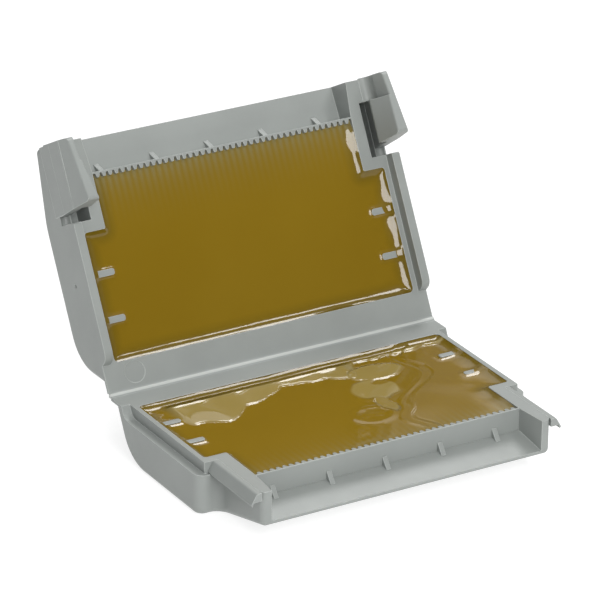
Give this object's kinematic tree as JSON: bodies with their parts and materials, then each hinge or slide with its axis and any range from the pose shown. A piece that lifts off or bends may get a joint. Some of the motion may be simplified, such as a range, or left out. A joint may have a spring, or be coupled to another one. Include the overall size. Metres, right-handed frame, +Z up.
{
  "type": "gel-filled cable splice box",
  "caption": "Small hinged plastic box whose two halves are filled with soft gel, with combs and open troughs at the front for wires, and snap clasps at both sides.",
  "frame": {"origin": "centre of the base's flat underside, in the middle of its width", "axes": "+X along the hinge to the right, +Y from the front lip towards the hinge, +Z up out of the base; the lid is stored standing open"},
  "size_m": [0.067, 0.0725, 0.0525],
  "materials": {
    "housing": "satin moulded polypropylene",
    "gel": "glossy translucent amber gel"
  },
  "bodies": {
    "base": {"base_shell": "housing", "base_comb_wall": "housing", "base_gusset_ribs": "housing", "base_locating_fins": "housing", "base_latch_tongue_left": "housing", "base_latch_tongue_right": "housing", "base_gel": "gel", "hinge_film": "housing"},
    "lid": {"lid_shell": "housing", "lid_comb_wall": "housing", "lid_gusset_ribs": "housing", "lid_locating_fins": "housing", "lid_gel": "gel"},
    "clasp_left": {"lid_clasp_left": "housing"},
    "clasp_right": {"lid_clasp_right": "housing"}
  },
  "joints": [
    {"name": "lid_hinge", "type": "hinge", "parent": "base", "child": "lid", "pos_m": [0, 0.02189, 0.0098], "axis": [-1, 0, 0], "range_deg": [-118.3, 61.7]},
    {"name": "clasp_flex_left", "type": "hinge", "parent": "lid", "child": "clasp_left", "pos_m": [-0.03247, 0.04211, 0.04207], "axis": [0, -0.4741, -0.8805], "range_deg": [0, 16], "stiffness_Nm_per_rad": 0.3},
    {"name": "clasp_flex_right", "type": "hinge", "parent": "lid", "child": "clasp_right", "pos_m": [0.03247, 0.04211, 0.04207], "axis": [0, 0.4741, 0.8805], "range_deg": [0, 16], "stiffness_Nm_per_rad": 0.3}
  ]
}
